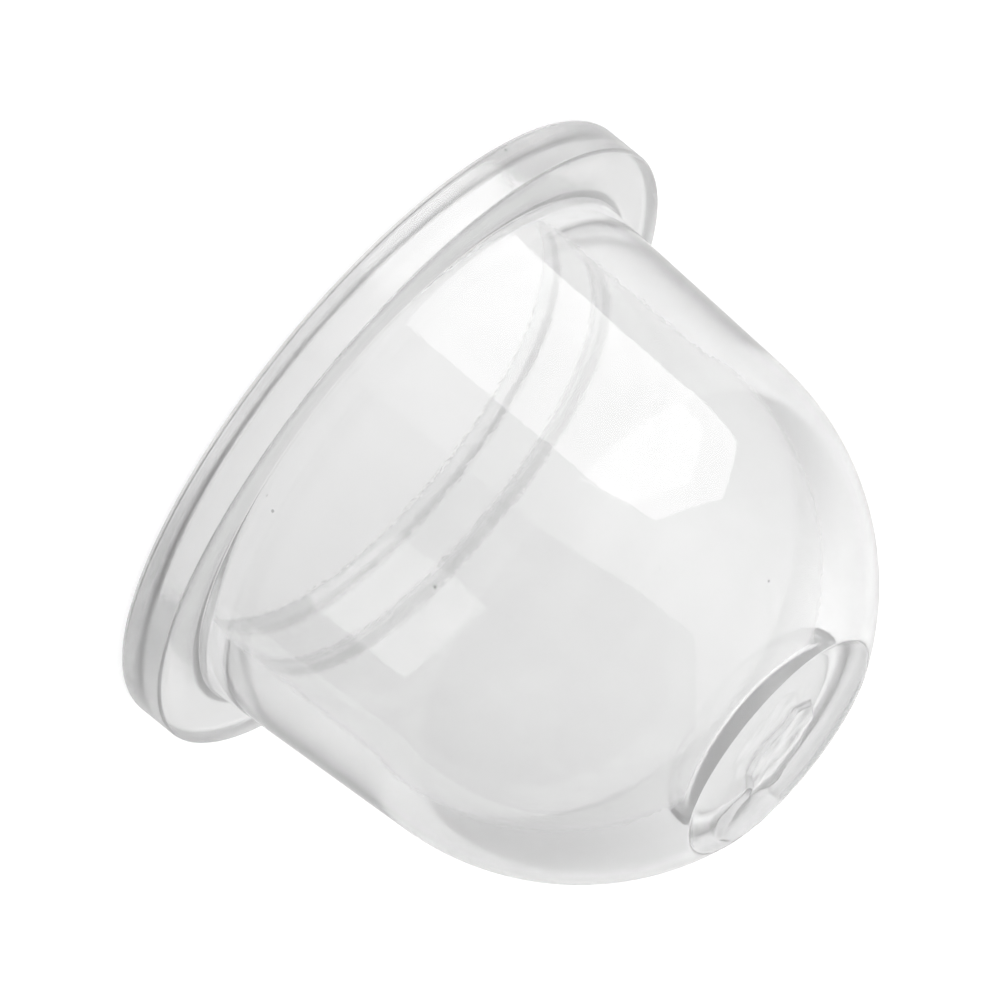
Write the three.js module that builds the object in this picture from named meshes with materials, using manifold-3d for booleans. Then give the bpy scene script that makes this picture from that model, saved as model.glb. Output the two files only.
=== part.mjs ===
// Primer bulb for a small engine's carburettor: a clear moulded squeeze bulb, one piece.
// Millimetres, +Z up. The origin is the centre of the flange's seal face, and +Z runs along
// the bulb's axis to its crown. The open mouth is at the seal face.
import * as THREE from 'three';
import { mergeVertices } from 'three/addons/utils/BufferGeometryUtils.js';
import Module from 'manifold-3d';

const wasm = await Module();
wasm.setup();

// Flange, clamped by the retaining plate
const flangeDiameter = 22;
const flangeThickness = 1.65;
const sealEdgeRadius = 0.3;
const clampEdgeRadius = 0.1;

// Outer wall, tapered from the flange up to the round dome
const wallFootDiameter = 18.5;
const wallFootFillet = 0.35;
const domeRadius = 8.85;
const domeCentreHeight = 8.4;

// Cavity, drawn off a tapered core with a domed end and a flat tip
const mouthDiameter = 15.8;
const mouthEdgeRadius = 0.2;
const cavityDomeRadius = 7.75;
const cavityDomeCentreHeight = 7.8;
const crownThickness = 0.95;

// Recess in the crown round the gate: a shallow dish with a flat floor
const recessDiameter = 7.7;
const recessDepth = 0.4;
const recessEdgeRadius = 0.12;
const recessDishRadius = 1.2;

// Gate mark: a torn pad on the recess's floor, and a skin pulled from it over the rim.
// The two outlines are in shares of the recess's radius.
const gateBedding = 0.3;
const gatePadRise = 0.13;
const gatePadBevel = 0.05;
const gateSkinRise = 0.08;
const gatePadOutline = [
  [0.05, -0.18], [0.15, -0.31], [0.41, -0.39], [0.47, -0.49], [0.62, -0.46], [0.7, -0.36], [0.79, -0.2],
  [0.73, -0.08], [0.66, 0.12], [0.48, 0.35], [0.23, 0.42], [0.04, 0.31], [0.08, 0.13], [0.02, -0.02],
];
const gateSkinOutline = [
  [0.98, -0.28], [0.72, -0.31], [0.44, -0.44], [0.38, -0.56], [0.36, -0.72],
  [0.45, -0.84], [0.63, -0.8], [0.76, -0.68], [0.86, -0.55], [0.93, -0.41],
];

// Fineness of the curved surfaces
const turns = 72;
const arcStep = THREE.MathUtils.degToRad(9);
const roundingSteps = 3;

// Points of an arc about a centre, both ends included.
function arc(x, y, radius, from, to, steps) {
  const count = steps ?? Math.max(2, Math.ceil(Math.abs(to - from) / arcStep));
  return Array.from({ length: count + 1 }, (_, i) => {
    const angle = from + ((to - from) * i) / count;
    return new THREE.Vector2(x + radius * Math.cos(angle), y + radius * Math.sin(angle));
  });
}

// Angle at which a straight wall from the point (x, y) touches a dome centred on the axis.
function touchAngle(x, y, radius, centre) {
  const reach = Math.hypot(x, centre - y);
  return Math.atan2(y - centre, x) + Math.acos(Math.min(radius / reach, 1));
}

// Outer half-section, from the seal face's inner edge round the flange and up to the axis.
function outerProfile() {
  const rim = flangeDiameter / 2;
  const clampEdgeZ = flangeThickness - clampEdgeRadius;
  const foot = wallFootDiameter / 2;
  const touch = touchAngle(foot, flangeThickness, domeRadius, domeCentreHeight);
  const filletX = foot + (wallFootFillet * (1 - Math.sin(touch))) / Math.cos(touch);
  const filletZ = flangeThickness + wallFootFillet;

  const lipX = recessDiameter / 2 + recessEdgeRadius;
  const lipAngle = Math.acos(lipX / (domeRadius - recessEdgeRadius));
  const lipZ = domeCentreHeight + (domeRadius - recessEdgeRadius) * Math.sin(lipAngle);
  const crown = lipZ + recessEdgeRadius;
  const floor = crown - recessDepth;
  const dishZ = floor + recessDishRadius;
  const dishX = lipX - Math.sqrt((recessDishRadius + recessEdgeRadius) ** 2 - (dishZ - lipZ) ** 2);
  const dishTouch = Math.atan2(lipZ - dishZ, lipX - dishX);

  return {
    crown,
    floor,
    points: [
      ...arc(rim - sealEdgeRadius, sealEdgeRadius, sealEdgeRadius, -Math.PI / 2, 0, roundingSteps + 1),
      ...arc(rim - clampEdgeRadius, clampEdgeZ, clampEdgeRadius, 0, Math.PI / 2, roundingSteps),
      ...arc(filletX, filletZ, wallFootFillet, -Math.PI / 2, touch - Math.PI, roundingSteps),
      ...arc(0, domeCentreHeight, domeRadius, touch, lipAngle),
      ...arc(lipX, lipZ, recessEdgeRadius, lipAngle, dishTouch + Math.PI, roundingSteps).slice(1),
      ...arc(dishX, dishZ, recessDishRadius, dishTouch, -Math.PI / 2),
      new THREE.Vector2(0, floor),
    ],
  };
}

// Cavity half-section, from the axis down to the mouth's rounded edge.
function cavityProfile(tipHeight) {
  const mouth = mouthDiameter / 2;
  const touch = touchAngle(mouth, 0, cavityDomeRadius, cavityDomeCentreHeight);
  const tipAngle = Math.asin((tipHeight - cavityDomeCentreHeight) / cavityDomeRadius);
  return [
    new THREE.Vector2(0, tipHeight),
    ...arc(0, cavityDomeCentreHeight, cavityDomeRadius, tipAngle, touch),
    ...arc(mouth + mouthEdgeRadius, mouthEdgeRadius, mouthEdgeRadius, -Math.PI, -Math.PI / 2, roundingSteps),
  ];
}

// Solid upright block on an outline, from a little inside the recess's floor.
function gateBlock(outline, floor, height, bevel) {
  const reach = recessDiameter / 2;
  const shape = new THREE.Shape(outline.map(([x, y]) => new THREE.Vector2(x * reach, y * reach)));
  const geometry = new THREE.ExtrudeGeometry(shape, {
    depth: gateBedding + height - bevel,
    bevelEnabled: bevel > 0,
    bevelThickness: bevel,
    bevelSize: bevel,
    bevelOffset: -bevel,
    bevelSegments: 1,
  });
  return geometry.translate(0, 0, floor - gateBedding);
}

// The skin's top slopes from the pad's height up to a little above the rim.
function gateSkin(floor, crown) {
  const geometry = gateBlock(gateSkinOutline, floor, gatePadRise, 0);
  const place = geometry.attributes.position;
  const [farX, farY] = gateSkinOutline[8];
  const along = (i) => place.getX(i) * farX + place.getY(i) * farY;
  const spans = Array.from({ length: place.count }, (_, i) => along(i));
  const near = Math.min(...spans);
  const far = Math.max(...spans);
  for (let i = 0; i < place.count; i += 1) {
    if (place.getZ(i) > floor) {
      const share = (spans[i] - near) / (far - near);
      place.setZ(i, THREE.MathUtils.lerp(floor + gatePadRise, crown + gateSkinRise, share));
    }
  }
  return geometry;
}

function turn(points) {
  const sameSpot = (a, b) => a.distanceTo(b) < 1e-6;
  const clean = points.filter((point, i) => i === 0 || !sameSpot(point, points[i - 1]));
  return new THREE.LatheGeometry(clean, turns).rotateX(Math.PI / 2);
}

function toSolid(geometry) {
  const bare = geometry.clone();
  bare.deleteAttribute('normal');
  bare.deleteAttribute('uv');
  const merged = mergeVertices(bare, 1e-5);
  return new wasm.Manifold(new wasm.Mesh({
    numProp: 3,
    vertProperties: new Float32Array(merged.attributes.position.array),
    triVerts: new Uint32Array(merged.index.array),
  }));
}

function toGeometry(solid) {
  const mesh = solid.getMesh();
  const geometry = new THREE.BufferGeometry();
  geometry.setAttribute('position', new THREE.BufferAttribute(new Float32Array(mesh.vertProperties), 3));
  geometry.setIndex(new THREE.BufferAttribute(new Uint32Array(mesh.triVerts), 1));
  geometry.computeVertexNormals();
  return geometry;
}

function primerBulb() {
  const { crown, floor, points } = outerProfile();
  const shell = toSolid(turn([...cavityProfile(floor - crownThickness), ...points]));
  const pad = toSolid(gateBlock(gatePadOutline, floor, gatePadRise, gatePadBevel));
  const skin = toSolid(gateSkin(floor, crown));
  return toGeometry(shell.add(pad).add(skin));
}

const clearPlastic = new THREE.MeshStandardMaterial({
  color: 0xdfe1e0,
  roughness: 0.14,
  metalness: 0,
  transparent: true,
  opacity: 0.45,
});

const bulb = new THREE.Mesh(primerBulb(), clearPlastic);
bulb.name = 'primer_bulb';

const group = new THREE.Group();
group.add(bulb);

export default group;
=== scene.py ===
import math

import bpy
from mathutils import Matrix, Vector, noise


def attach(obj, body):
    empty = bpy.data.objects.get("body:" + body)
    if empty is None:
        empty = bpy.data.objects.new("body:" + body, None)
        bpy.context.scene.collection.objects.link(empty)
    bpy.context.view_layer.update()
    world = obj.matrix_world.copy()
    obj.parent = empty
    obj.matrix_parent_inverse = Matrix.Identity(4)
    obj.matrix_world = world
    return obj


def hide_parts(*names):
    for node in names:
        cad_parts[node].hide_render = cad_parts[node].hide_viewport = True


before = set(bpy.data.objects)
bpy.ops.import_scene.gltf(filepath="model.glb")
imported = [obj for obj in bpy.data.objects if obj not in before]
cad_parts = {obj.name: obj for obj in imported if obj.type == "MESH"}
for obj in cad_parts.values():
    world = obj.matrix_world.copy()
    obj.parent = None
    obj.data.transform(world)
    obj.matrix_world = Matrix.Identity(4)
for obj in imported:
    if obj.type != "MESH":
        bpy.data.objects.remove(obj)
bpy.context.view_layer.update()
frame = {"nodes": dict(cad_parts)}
print("frame loaded:", ", ".join(frame["nodes"]))

mm = 0.001

# The view: the bulb's axis points down to the right, seen from a little above the flange's plane.
cameraView = {
    "tilt": 17.4,            # degrees above the flange's plane
    "roll": 39.05,           # degrees that the axis points below the picture's horizontal
    "distance": 900 * mm,
    "pixelsPerMm": 33.78,
    "originPixel": (368.9, 414.5),
    "picture": 1000,
    "sensor": 36,
    "near": 10 * mm,
    "far": 10,
}

# The bulb's half-section, as in the frame, and how finely it is drawn.
bulb = {
    "rimRadius": 11 * mm,
    "flangeThick": 1.65 * mm,
    "sealEdge": 0.3 * mm,
    "clampEdge": 0.1 * mm,
    "footRadius": 9.25 * mm,
    "footFillet": 0.35 * mm,
    "domeRadius": 8.85 * mm,
    "domeHeight": 8.4 * mm,
    "mouthRadius": 7.9 * mm,
    "mouthEdge": 0.2 * mm,
    "cavityRadius": 7.75 * mm,
    "cavityHeight": 7.8 * mm,
    "crownThick": 0.95 * mm,
    "recessRadius": 3.85 * mm,
    "recessDepth": 0.4 * mm,
    "recessEdge": 0.12 * mm,
    "recessDish": 1.2 * mm,
    "floorRings": 56,
    "wallRings": 12,
    "clampRings": 3,
    "rimRings": 4,
    "dishSteps": 16,
    "lipSteps": 9,
    "leastSteps": 7,             # fewest steps of any other arc
    "arcStep": 0.14 * mm,
    "turns": 288,
    "weld": 0.0005 * mm,
    "satinInside": 8.3 * mm,     # the flange is satin outside this radius
    "recessBelow": 0.1 * mm,     # faces down to this far under the recess's floor belong to the crown
}

# The torn gate: a pad on the recess's floor, and a skin pulled from it over the rim.
# The two outlines are in shares of the recess's radius, as in the frame.
gateMark = {
    "padRise": 0.13 * mm,
    "skinRise": 0.08 * mm,
    "edge": 0.1 * mm,            # width over which a torn edge rises
    "tear": 0.035 * mm,          # roughness of the torn surface
    "tearScale": 1.6 / mm,
    "reach": 4.3 * mm,
    "pad": [
        (0.05, -0.18), (0.15, -0.31), (0.41, -0.39), (0.47, -0.49), (0.62, -0.46),
        (0.7, -0.36), (0.79, -0.2), (0.73, -0.08), (0.66, 0.12), (0.48, 0.35),
        (0.23, 0.42), (0.04, 0.31), (0.08, 0.13), (0.02, -0.02),
    ],
    "skin": [
        (0.98, -0.28), (0.72, -0.31), (0.44, -0.44), (0.38, -0.56), (0.36, -0.72),
        (0.45, -0.84), (0.63, -0.8), (0.76, -0.68), (0.86, -0.55), (0.93, -0.41),
    ],
    "skinToward": (0.86, -0.55),
}

# Finish of the moulding: clear plastic with a faint haze, specks, mould marks, and scuffed streaks
# whose white colour is a painted highlight.
# Patterns read the piece's own coordinates in millimetres.
finish = {
    "plastics": [                # name, roughness, share of the moulding grain
        ("clearPlastic", 0.03, 1.0),
        ("tornPlastic", 0.16, 4.0),
        ("satinPlastic", 0.16, 1.5),
    ],
    "ior": 1.49,
    "transmission": 0.84,
    "tint": (0.975, 0.975, 0.975, 1),
    "hazeTint": (0.93, 0.93, 0.93, 1),
    "hazeRough": 0.04,           # roughness that the haze adds
    "hazeScale": 0.16,
    "hazeDetail": 5,
    "hazeFineShare": 0.65,
    "hazeRange": (0.4, 0.72),
    "speckTint": (0.3, 0.3, 0.3, 1),
    "speckScale": 0.62,
    "speckRadius": 0.036,        # share of a cell of the speck pattern
    "speckFrom": 0.6,            # cells with a chance above this have a speck
    # scuffed places: rougher, and whitened as a painted highlight of light on the rubbed wall
    "scuffAndHighlightPlaces": [(-8.0, -3.85, 8.2, 1.7), (-7.4, -3.8, 11.4, 2.1)],   # places and reaches, mm
    "scuffAndHighlightCore": 0.2,            # share of the reach that is wholly scuffed
    # white that paints a highlight on the scuffed streaks
    "scuffHighlightTint": (1, 1, 1, 1),
    "scuffRough": 0.1,
    "scuffAndHighlightStretch": (4.0, 4.0, 0.5),
    "scuffAndHighlightScale": 1.3,
    "scuffAndHighlightDetail": 3,
    "scuffAndHighlightRange": (0.3, 0.6),
    "grainScale": 6.0,
    "grainDetail": 2,
    "lineFrom": 10.9,            # the rim's lines lie outside this radius, mm
    "lineStretch": (0.04, 0.04, 1.0),
    "lineScale": 3.4,
    "lineDetail": 4,
    "lineHeight": 6.0,           # against a grain of height 1
    "bump": 0.0012 * mm,
}
clearSlot, tornSlot, satinSlot = range(3)

# Studio round the bulb: a light tent of even level, with paler and darker sides. Each side is
# (degrees round from +X to +Y, degrees above level, reach in degrees, change of level).
tent = {
    "level": 0.8,
    "seenLevel": 1.0,            # the white that the camera sees
    "sides": [
        (0, 90, 75, 0.15),
        (0, 5, 60, -0.06),
        (144, 27, 42, 0.4),
        (105, -25, 45, -0.3),
        (64, 2, 48, -0.38),
        (20, 32, 46, 0.3),
        (-42, 14, 38, -0.12),
    ],
}
paleFloor = {
    "size": 2.4,
    "below": 0.02 * mm,
    "colour": (0.25, 0.25, 0.25, 1),
    "seenGlow": 0.84,            # light added for the camera
    "throughGlow": 0.74,         # light added for rays through the plastic
}

# Panels on the camera's side: a softbox, whose reflection runs up the wall and on to the dome, and
# a dark card beside it. Corners and facing are (degrees round from -X to +Y, degrees above level).
softbox = {
    "corners": [(34, -24), (33.6, 0.3), (40, 21), (71.5, 25.6), (92, 9.7), (93, -24)],
    "distance": 320 * mm,
    "facing": (63, 0),
    "strength": 3.3,
}
darkCard = {
    "corners": [
        (6, -20), (9, 10), (16, 40), (26, 62), (-20, 80), (-100, 78), (-112, 30), (-95, -20),
    ],
    "distance": 360 * mm,
    "facing": (-48, 32),
    "strength": 0.25,
}
overhead = {
    "place": (50 * mm, -100 * mm, 600 * mm),
    "size": 500 * mm,
    "power": 1.5,
}


def setUpCamera():
    data = bpy.data.cameras.new("camera")
    camera = bpy.data.objects.new("camera", data)
    bpy.context.scene.collection.objects.link(camera)
    tilt = math.radians(cameraView["tilt"])
    turn = math.radians(90 + cameraView["roll"])
    ahead = Vector((math.cos(tilt), 0, -math.sin(tilt)))
    level = Vector((0, -1, 0))
    above = level.cross(ahead)
    right = level * math.cos(turn) + above * math.sin(turn)
    up = above * math.cos(turn) - level * math.sin(turn)
    half = cameraView["picture"] / 2
    offX = (cameraView["originPixel"][0] - half) / cameraView["pixelsPerMm"] * mm
    offY = (cameraView["originPixel"][1] - half) / cameraView["pixelsPerMm"] * mm
    place = up * offY - right * offX - ahead * cameraView["distance"]
    facing = Matrix((right, up, -ahead)).transposed().to_4x4()
    camera.matrix_world = Matrix.Translation(place) @ facing
    focal = cameraView["pixelsPerMm"] * cameraView["distance"] / mm
    data.sensor_width = cameraView["sensor"]
    data.lens = focal / cameraView["picture"] * cameraView["sensor"]
    data.clip_start = cameraView["near"]
    data.clip_end = cameraView["far"]
    bpy.context.scene.camera = camera


def startPen(x, z):
    # one loose point in edit mode, which the pen draws on from
    bpy.ops.object.select_all(action="DESELECT")
    bpy.ops.mesh.primitive_plane_add(size=mm, location=(0, 0, 0))
    bpy.ops.object.mode_set(mode="EDIT")
    bpy.ops.mesh.select_all(action="SELECT")
    bpy.ops.mesh.merge(type="CENTER")
    bpy.ops.transform.translate(value=(x, 0, z))


def penLine(dx, dz, steps):
    move = (dx / steps, 0, dz / steps)
    for _ in range(steps):
        bpy.ops.mesh.extrude_region_move(TRANSFORM_OT_translate={"value": move})


def penArc(x, z, radius, start, end, least=bulb["leastSteps"]):
    # angles run from +X towards +Z
    steps = max(least, math.ceil(abs(end - start) * radius / bulb["arcStep"]))
    bpy.ops.mesh.spin(steps=steps, angle=end - start, center=(x, 0, z), axis=(0, 1, 0))


def touchAngle(x, z, radius, height):
    # angle at which a straight wall from the point touches a dome centred on the axis
    reach = math.hypot(x, height - z)
    return math.atan2(z - height, x) + math.acos(radius / reach)


def drawHalfSection():
    b = bulb
    quarter = math.pi / 2
    rim, thick, fillet = b["rimRadius"], b["flangeThick"], b["footFillet"]
    clamp, seal, mouth = b["clampEdge"], b["sealEdge"], b["mouthEdge"]
    dome, domeZ, lip, dish = b["domeRadius"], b["domeHeight"], b["recessEdge"], b["recessDish"]
    cavity, cavityZ = b["cavityRadius"], b["cavityHeight"]
    outerTouch = touchAngle(b["footRadius"], thick, dome, domeZ)
    innerTouch = touchAngle(b["mouthRadius"], 0, cavity, cavityZ)

    # recess and dome
    lipX = b["recessRadius"] + lip
    lipAngle = math.acos(lipX / (dome - lip))
    lipZ = domeZ + (dome - lip) * math.sin(lipAngle)
    crown = lipZ + lip
    floor = crown - b["recessDepth"]
    dishZ = floor + dish
    dishX = lipX - math.sqrt((dish + lip) ** 2 - (dishZ - lipZ) ** 2)
    dishTouch = math.atan2(lipZ - dishZ, lipX - dishX)
    startPen(0, floor)
    penLine(dishX, 0, b["floorRings"])
    penArc(dishX, dishZ, dish, -quarter, dishTouch, b["dishSteps"])
    penArc(lipX, lipZ, lip, dishTouch + math.pi, lipAngle, b["lipSteps"])
    penArc(0, domeZ, dome, lipAngle, outerTouch)

    # wall and its foot
    filletX = b["footRadius"] + fillet * (1 - math.sin(outerTouch)) / math.cos(outerTouch)
    filletZ = thick + fillet
    wallX = filletX + fillet * math.cos(outerTouch - math.pi)
    wallZ = filletZ + fillet * math.sin(outerTouch - math.pi)
    fromX = dome * math.cos(outerTouch)
    fromZ = domeZ + dome * math.sin(outerTouch)
    penLine(wallX - fromX, wallZ - fromZ, b["wallRings"])
    penArc(filletX, filletZ, fillet, outerTouch - math.pi, -quarter)

    # flange
    penLine(rim - clamp - filletX, 0, b["clampRings"])
    penArc(rim - clamp, thick - clamp, clamp, quarter, 0)
    penLine(0, seal + clamp - thick, b["rimRings"])
    penArc(rim - seal, seal, seal, 0, -quarter)
    penLine(b["mouthRadius"] + mouth - rim + seal, 0, b["rimRings"])
    penArc(b["mouthRadius"] + mouth, mouth, mouth, -quarter, -math.pi)

    # cavity
    tipAngle = math.asin((floor - b["crownThick"] - cavityZ) / cavity)
    mouthX = cavity * math.cos(innerTouch)
    mouthZ = cavityZ + cavity * math.sin(innerTouch)
    penLine(mouthX - b["mouthRadius"], mouthZ - mouth, b["wallRings"])
    penArc(0, cavityZ, cavity, innerTouch, tipAngle)
    penLine(-cavity * math.cos(tipAngle), 0, b["wallRings"])
    return floor, crown


def insideBy(x, y, outline):
    # how far the point lies inside the outline, in metres; negative outside
    reach = bulb["recessRadius"]
    spot = Vector((x, y))
    inside = False
    nearest = 1.0
    for i, corner in enumerate(outline):
        a = Vector(outline[i - 1]) * reach
        b = Vector(corner) * reach
        if (a.y > y) != (b.y > y) and x < a.x + (y - a.y) * (b.x - a.x) / (b.y - a.y):
            inside = not inside
        along = max(0.0, min(1.0, (spot - a).dot(b - a) / (b - a).length_squared))
        nearest = min(nearest, (spot - a - (b - a) * along).length)
    return nearest if inside else -nearest


def tornShare(x, y, outline):
    # 0 outside the outline and 1 inside it, rising over the width of the torn edge
    return max(0.0, min(1.0, insideBy(x, y, outline) / gateMark["edge"] + 0.5))


def tearGate(piece, floor, crown):
    g = gateMark
    padTop = floor + g["padRise"]
    skinTop = crown + g["skinRise"]
    toward = Vector(g["skinToward"]).normalized()
    spans = [Vector(corner).dot(toward) * bulb["recessRadius"] for corner in g["skin"]]
    for vertex in piece.data.vertices:
        x, y, z = vertex.co
        if z < floor - bulb["recessBelow"] or math.hypot(x, y) > g["reach"]:
            continue
        ripple = g["tear"] * noise.noise(vertex.co * g["tearScale"])
        z = max(z, floor + (g["padRise"] + ripple) * tornShare(x, y, g["pad"]))
        share = (Vector((x, y)).dot(toward) - min(spans)) / (max(spans) - min(spans))
        slope = padTop + (skinTop - padTop) * share + ripple
        z += max(0.0, slope - z) * tornShare(x, y, g["skin"])
        vertex.co.z = min(z, skinTop)


def onGate(x, y):
    return max(insideBy(x, y, gateMark["pad"]), insideBy(x, y, gateMark["skin"])) > 0


def sortFinish(piece, floor):
    # the flange and the recess are satin, the gate mark is torn, the wall and dome are clear
    flangeTop = bulb["flangeThick"] + bulb["footFillet"]
    for face in piece.data.polygons:
        x, y, z = face.center
        out = math.hypot(x, y)
        onFlange = z < flangeTop and out > bulb["satinInside"]
        onCrown = z > floor - bulb["recessBelow"]
        if onCrown and out < gateMark["reach"] and onGate(x, y):
            face.material_index = tornSlot
        elif onFlange or (onCrown and out < bulb["recessRadius"]):
            face.material_index = satinSlot
        else:
            face.material_index = clearSlot


def buildBulb():
    floor, crown = drawHalfSection()
    bpy.ops.mesh.select_all(action="SELECT")
    bpy.ops.mesh.spin(steps=bulb["turns"], angle=2 * math.pi, center=(0, 0, 0), axis=(0, 0, 1))
    bpy.ops.mesh.select_all(action="SELECT")
    bpy.ops.mesh.remove_doubles(threshold=bulb["weld"])
    bpy.ops.mesh.normals_make_consistent(inside=False)
    bpy.ops.object.mode_set(mode="OBJECT")
    piece = bpy.context.active_object
    piece.name = "bulb_moulding"
    for material in makePlastics():
        piece.data.materials.append(material)
    tearGate(piece, floor, crown)
    sortFinish(piece, floor)
    bpy.ops.object.shade_smooth()
    print("bulb:", len(piece.data.polygons), "faces, recess floor at", round(floor / mm, 3), "mm")
    return piece


def mathNode(tree, operation, *values):
    node = tree.nodes.new("ShaderNodeMath")
    node.operation = operation
    for i, value in enumerate(values):
        if isinstance(value, (int, float)):
            node.inputs[i].default_value = value
        else:
            tree.links.new(value, node.inputs[i])
    return node.outputs[0]


def vectorNode(tree, operation, first, second):
    node = tree.nodes.new("ShaderNodeVectorMath")
    node.operation = operation
    tree.links.new(first, node.inputs[0])
    node.inputs[1].default_value = second
    return node.outputs["Value"]


def rangeNode(tree, value, fromMin, fromMax, toMax=1.0, smooth=True):
    node = tree.nodes.new("ShaderNodeMapRange")
    node.interpolation_type = "SMOOTHSTEP" if smooth else "LINEAR"
    node.inputs["From Min"].default_value = fromMin
    node.inputs["From Max"].default_value = fromMax
    node.inputs["To Max"].default_value = toMax
    tree.links.new(value, node.inputs["Value"])
    return node.outputs["Result"]


def noiseNode(tree, place, scale, detail, fineShare=0.5):
    node = tree.nodes.new("ShaderNodeTexNoise")
    node.inputs["Scale"].default_value = scale
    node.inputs["Detail"].default_value = detail
    node.inputs["Roughness"].default_value = fineShare
    tree.links.new(place, node.inputs["Vector"])
    return node.outputs[0]


def scaled(tree, place, scale):
    node = tree.nodes.new("ShaderNodeMapping")
    node.inputs["Scale"].default_value = scale
    tree.links.new(place, node.inputs["Vector"])
    return node.outputs[0]


def mixColour(tree, factor, first, second):
    node = tree.nodes.new("ShaderNodeMix")
    node.data_type = "RGBA"
    tree.links.new(factor, node.inputs["Factor"])
    if isinstance(first, tuple):
        node.inputs["A"].default_value = first
    else:
        tree.links.new(first, node.inputs["A"])
    node.inputs["B"].default_value = second
    return node.outputs["Result"]


def newGroup(name, inputs, outputs):
    group = bpy.data.node_groups.new(name, "ShaderNodeTree")
    for socket, kind in inputs:
        group.interface.new_socket(name=socket, in_out="INPUT", socket_type=kind)
    for socket, kind in outputs:
        group.interface.new_socket(name=socket, in_out="OUTPUT", socket_type=kind)
    return group, group.nodes.new("NodeGroupInput"), group.nodes.new("NodeGroupOutput")


def placeGroup(tree, group, place, values):
    node = tree.nodes.new("ShaderNodeGroup")
    node.node_tree = group
    tree.links.new(place, node.inputs["Place"])
    for name, value in values.items():
        node.inputs[name].default_value = value
    return node


def specksGroup():
    # small dark specks of dirt in the plastic
    group, given, result = newGroup(
        "plasticSpecks",
        [("Place", "NodeSocketVector"), ("Density", "NodeSocketFloat"), ("Radius", "NodeSocketFloat")],
        [("Specks", "NodeSocketFloat")],
    )
    cells = group.nodes.new("ShaderNodeTexVoronoi")
    group.links.new(given.outputs["Place"], cells.inputs["Vector"])
    group.links.new(given.outputs["Density"], cells.inputs["Scale"])
    near = mathNode(group, "LESS_THAN", cells.outputs["Distance"], given.outputs["Radius"])
    chance = group.nodes.new("ShaderNodeSeparateColor")
    group.links.new(cells.outputs["Color"], chance.inputs[0])
    few = mathNode(group, "GREATER_THAN", chance.outputs[0], finish["speckFrom"])
    group.links.new(mathNode(group, "MULTIPLY", near, few), result.inputs["Specks"])
    return group


def scuffAndHighlightMask(group, place):
    # places on the wall that are rubbed in streaks along the axis; the same mask roughens them and
    # whitens them as a painted highlight
    total = 0.0
    for x, y, z, reach in finish["scuffAndHighlightPlaces"]:
        apart = vectorNode(group, "DISTANCE", place, (x, y, z))
        near = rangeNode(group, apart, reach, finish["scuffAndHighlightCore"] * reach)
        total = mathNode(group, "ADD", near, total)
    streaked = scaled(group, place, finish["scuffAndHighlightStretch"])
    streaks = noiseNode(group, streaked, finish["scuffAndHighlightScale"], finish["scuffAndHighlightDetail"])
    worn = rangeNode(group, streaks, *finish["scuffAndHighlightRange"], smooth=False)
    return mathNode(group, "MULTIPLY", total, worn)


def rimLines(group, place):
    # fine turned lines of the mould round the flange's rim: they change along the axis, hardly round it
    part = group.nodes.new("ShaderNodeSeparateXYZ")
    group.links.new(place, part.inputs[0])
    across = mathNode(group, "MULTIPLY", part.outputs["X"], part.outputs["X"])
    out = mathNode(group, "MULTIPLY_ADD", part.outputs["Y"], part.outputs["Y"], across)
    onRim = mathNode(group, "GREATER_THAN", mathNode(group, "SQRT", out), finish["lineFrom"])
    level = scaled(group, place, finish["lineStretch"])
    lines = noiseNode(group, level, finish["lineScale"], finish["lineDetail"])
    return mathNode(group, "MULTIPLY", mathNode(group, "MULTIPLY", lines, finish["lineHeight"]), onRim)


def surfaceGroup():
    # cloudy haze, scuffed places that also carry a painted highlight, and the height of moulding grain
    # and rim lines
    group, given, result = newGroup(
        "mouldSurface",
        [("Place", "NodeSocketVector"), ("Grain", "NodeSocketFloat")],
        [("Haze", "NodeSocketFloat"), ("ScuffsAndHighlight", "NodeSocketFloat"), ("Height", "NodeSocketFloat")],
    )
    place = given.outputs["Place"]
    clouds = noiseNode(group, place, finish["hazeScale"], finish["hazeDetail"], finish["hazeFineShare"])
    group.links.new(rangeNode(group, clouds, *finish["hazeRange"]), result.inputs["Haze"])
    group.links.new(scuffAndHighlightMask(group, place), result.inputs["ScuffsAndHighlight"])
    grain = noiseNode(group, place, finish["grainScale"], finish["grainDetail"])
    fine = mathNode(group, "MULTIPLY", grain, given.outputs["Grain"])
    group.links.new(mathNode(group, "ADD", fine, rimLines(group, place)), result.inputs["Height"])
    return group


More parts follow.
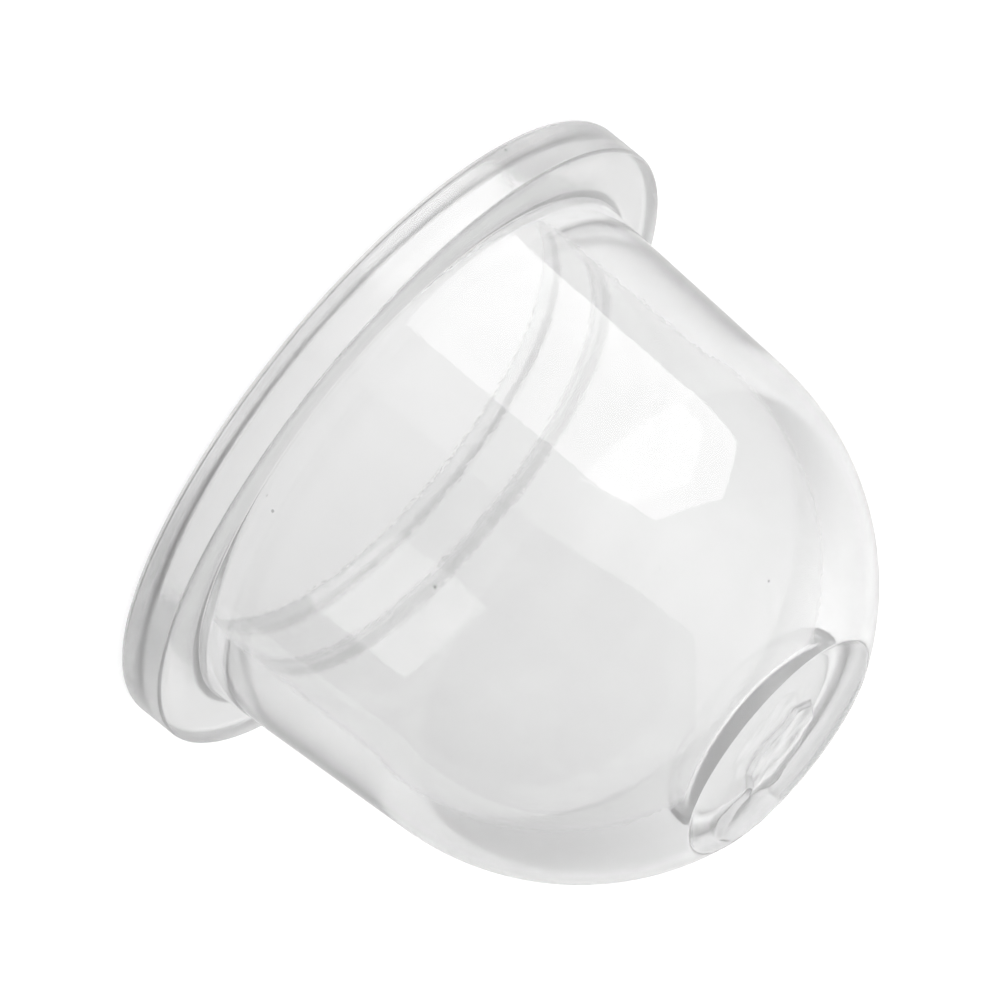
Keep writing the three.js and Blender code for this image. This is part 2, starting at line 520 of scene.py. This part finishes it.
def clearPlastic(specksTree, surfaceTree, name, roughness, grain):
    material = bpy.data.materials.new(name)
    material.use_nodes = True
    tree = material.node_tree
    shader = tree.nodes["Principled BSDF"]
    shader.inputs["IOR"].default_value = finish["ior"]
    shader.inputs["Transmission Weight"].default_value = finish["transmission"]
    coordinates = tree.nodes.new("ShaderNodeTexCoord")
    place = scaled(tree, coordinates.outputs["Object"], (1 / mm, 1 / mm, 1 / mm))
    speckValues = {"Density": finish["speckScale"], "Radius": finish["speckRadius"]}
    specks = placeGroup(tree, specksTree, place, speckValues)
    surface = placeGroup(tree, surfaceTree, place, {"Grain": grain})
    colour = mixColour(tree, surface.outputs["Haze"], finish["tint"], finish["hazeTint"])
    # the scuffed streaks turn white: a painted highlight, while their roughness below is real wear
    colour = mixColour(tree, surface.outputs["ScuffsAndHighlight"], colour, finish["scuffHighlightTint"])
    colour = mixColour(tree, specks.outputs["Specks"], colour, finish["speckTint"])
    tree.links.new(colour, shader.inputs["Base Color"])
    rough = mathNode(tree, "MULTIPLY_ADD", surface.outputs["Haze"], finish["hazeRough"], roughness)
    rough = mathNode(tree, "MULTIPLY_ADD", surface.outputs["ScuffsAndHighlight"], finish["scuffRough"], rough)
    tree.links.new(rough, shader.inputs["Roughness"])
    bump = tree.nodes.new("ShaderNodeBump")
    bump.inputs["Distance"].default_value = finish["bump"]
    tree.links.new(surface.outputs["Height"], bump.inputs["Height"])
    tree.links.new(bump.outputs[0], shader.inputs["Normal"])
    return material


def makePlastics():
    specksTree = specksGroup()
    surfaceTree = surfaceGroup()
    return [clearPlastic(specksTree, surfaceTree, *kind) for kind in finish["plastics"]]


def toward(turn, above):
    # direction that lies turn degrees round from +X to +Y, and above degrees over level
    a, e = math.radians(turn), math.radians(above)
    return Vector((math.cos(e) * math.cos(a), math.cos(e) * math.sin(a), math.sin(e)))


def setUpWorld():
    world = bpy.data.worlds.new("studio")
    world.use_nodes = True
    bpy.context.scene.world = world
    tree = world.node_tree
    background = tree.nodes["Background"]
    background.inputs["Color"].default_value = (1, 1, 1, 1)
    coordinates = tree.nodes.new("ShaderNodeTexCoord")
    total = tent["level"]
    for turn, above, reach, change in tent["sides"]:
        along = vectorNode(tree, "DOT_PRODUCT", coordinates.outputs["Generated"], toward(turn, above))
        side = rangeNode(tree, along, math.cos(math.radians(reach)), 1.0, change)
        total = mathNode(tree, "ADD", side, total)
    path = tree.nodes.new("ShaderNodeLightPath")
    seen = tree.nodes.new("ShaderNodeMix")
    seen.data_type = "FLOAT"
    seen.inputs["B"].default_value = tent["seenLevel"]
    tree.links.new(path.outputs["Is Camera Ray"], seen.inputs["Factor"])
    tree.links.new(total, seen.inputs["A"])
    tree.links.new(seen.outputs["Result"], background.inputs["Strength"])


def stageMaterial(name):
    # a material with nothing linked to its surface yet
    material = bpy.data.materials.new(name)
    material.use_nodes = True
    tree = material.node_tree
    tree.nodes.remove(tree.nodes["Principled BSDF"])
    return material, tree, tree.nodes["Material Output"].inputs["Surface"]


def addFloor():
    bpy.ops.object.select_all(action="DESELECT")
    bpy.ops.mesh.primitive_plane_add(size=paleFloor["size"], location=(0, 0, -paleFloor["below"]))
    floor = bpy.context.active_object
    floor.name = "floor"
    floor.visible_glossy = False
    floor.visible_shadow = False
    material, tree, surface = stageMaterial("paleFloor")
    matt = tree.nodes.new("ShaderNodeBsdfDiffuse")
    matt.inputs["Color"].default_value = paleFloor["colour"]
    path = tree.nodes.new("ShaderNodeLightPath")
    seen = mathNode(tree, "MULTIPLY", path.outputs["Is Camera Ray"], paleFloor["seenGlow"])
    through = path.outputs["Is Transmission Ray"]
    level = mathNode(tree, "MULTIPLY_ADD", through, paleFloor["throughGlow"], seen)
    glow = tree.nodes.new("ShaderNodeEmission")
    tree.links.new(level, glow.inputs["Strength"])
    both = tree.nodes.new("ShaderNodeAddShader")
    tree.links.new(matt.outputs[0], both.inputs[0])
    tree.links.new(glow.outputs[0], both.inputs[1])
    tree.links.new(both.outputs[0], surface)
    floor.data.materials.append(material)


def addPanel(name, settings):
    rays = [toward(180 - turn, above) for turn, above in settings["corners"]]
    turn, above = settings["facing"]
    centre = toward(180 - turn, above)
    points = [ray * (settings["distance"] / ray.dot(centre)) for ray in rays]
    mesh = bpy.data.meshes.new(name)
    mesh.from_pydata(points, [], [list(range(len(points)))])
    panel = bpy.data.objects.new(name, mesh)
    bpy.context.scene.collection.objects.link(panel)
    panel.visible_camera = False
    panel.visible_shadow = False
    material, tree, surface = stageMaterial(name + "Glow")
    glow = tree.nodes.new("ShaderNodeEmission")
    glow.inputs["Strength"].default_value = settings["strength"]
    tree.links.new(glow.outputs[0], surface)
    mesh.materials.append(material)


def addLamp(name, settings):
    data = bpy.data.lights.new(name, "AREA")
    data.shape = "DISK"
    data.size = settings["size"]
    data.energy = settings["power"]
    lamp = bpy.data.objects.new(name, data)
    bpy.context.scene.collection.objects.link(lamp)
    lamp.location = settings["place"]
    lamp.rotation_mode = "QUATERNION"
    lamp.rotation_quaternion = (-Vector(settings["place"])).to_track_quat("-Z", "Y")
    lamp.visible_camera = False
    lamp.visible_glossy = False
    lamp.visible_transmission = False


bpy.context.scene.view_settings.view_transform = "Standard"
setUpCamera()
piece = buildBulb()
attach(piece, "root")
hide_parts("primer_bulb")
setUpWorld()
addFloor()
addPanel("softbox", softbox)
addPanel("darkCard", darkCard)
addLamp("overhead", overhead)
print("studio ready")
